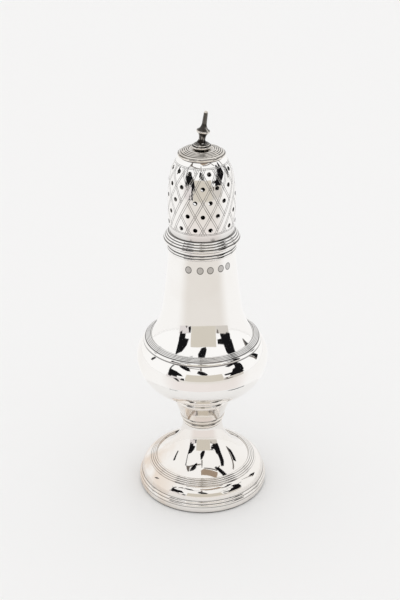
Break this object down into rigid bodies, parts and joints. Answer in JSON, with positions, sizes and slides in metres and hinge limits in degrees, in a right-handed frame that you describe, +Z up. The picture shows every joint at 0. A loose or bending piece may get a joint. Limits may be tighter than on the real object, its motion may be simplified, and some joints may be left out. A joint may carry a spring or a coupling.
{
  "type": "sugar caster",
  "caption": "Silver baluster caster on a stepped round foot, with a pierced and engraved domed cover that lifts off and a turned finial.",
  "frame": {"origin": "centre of the foot on the table plane", "axes": "+Z up along the turning axis, -Y towards the viewer of the picture, +X to the viewer's right"},
  "size_m": [0.0492, 0.0492, 0.1503],
  "materials": {
    "silver": "bright polished silver, lightly tarnished in the recesses"
  },
  "bodies": {
    "vessel": {"foot_rim_wire": "silver", "foot_shell": "silver", "foot_reeded_wire": "silver", "stem_collar": "silver", "knop": "silver", "knop_collar": "silver", "bowl": "silver", "neck": "silver", "girdle_wire": "silver", "mouth_wire": "silver"},
    "cover": {"cover_sleeve": "silver", "cover_rim_wire": "silver", "cover_dome": "silver", "cover_cap": "silver", "finial_collar": "silver", "finial": "silver"}
  },
  "joints": [
    {"name": "cover_lift", "type": "slide", "parent": "vessel", "child": "cover", "axis": [0, 0, 1], "range_m": [0, 0.03]}
  ]
}
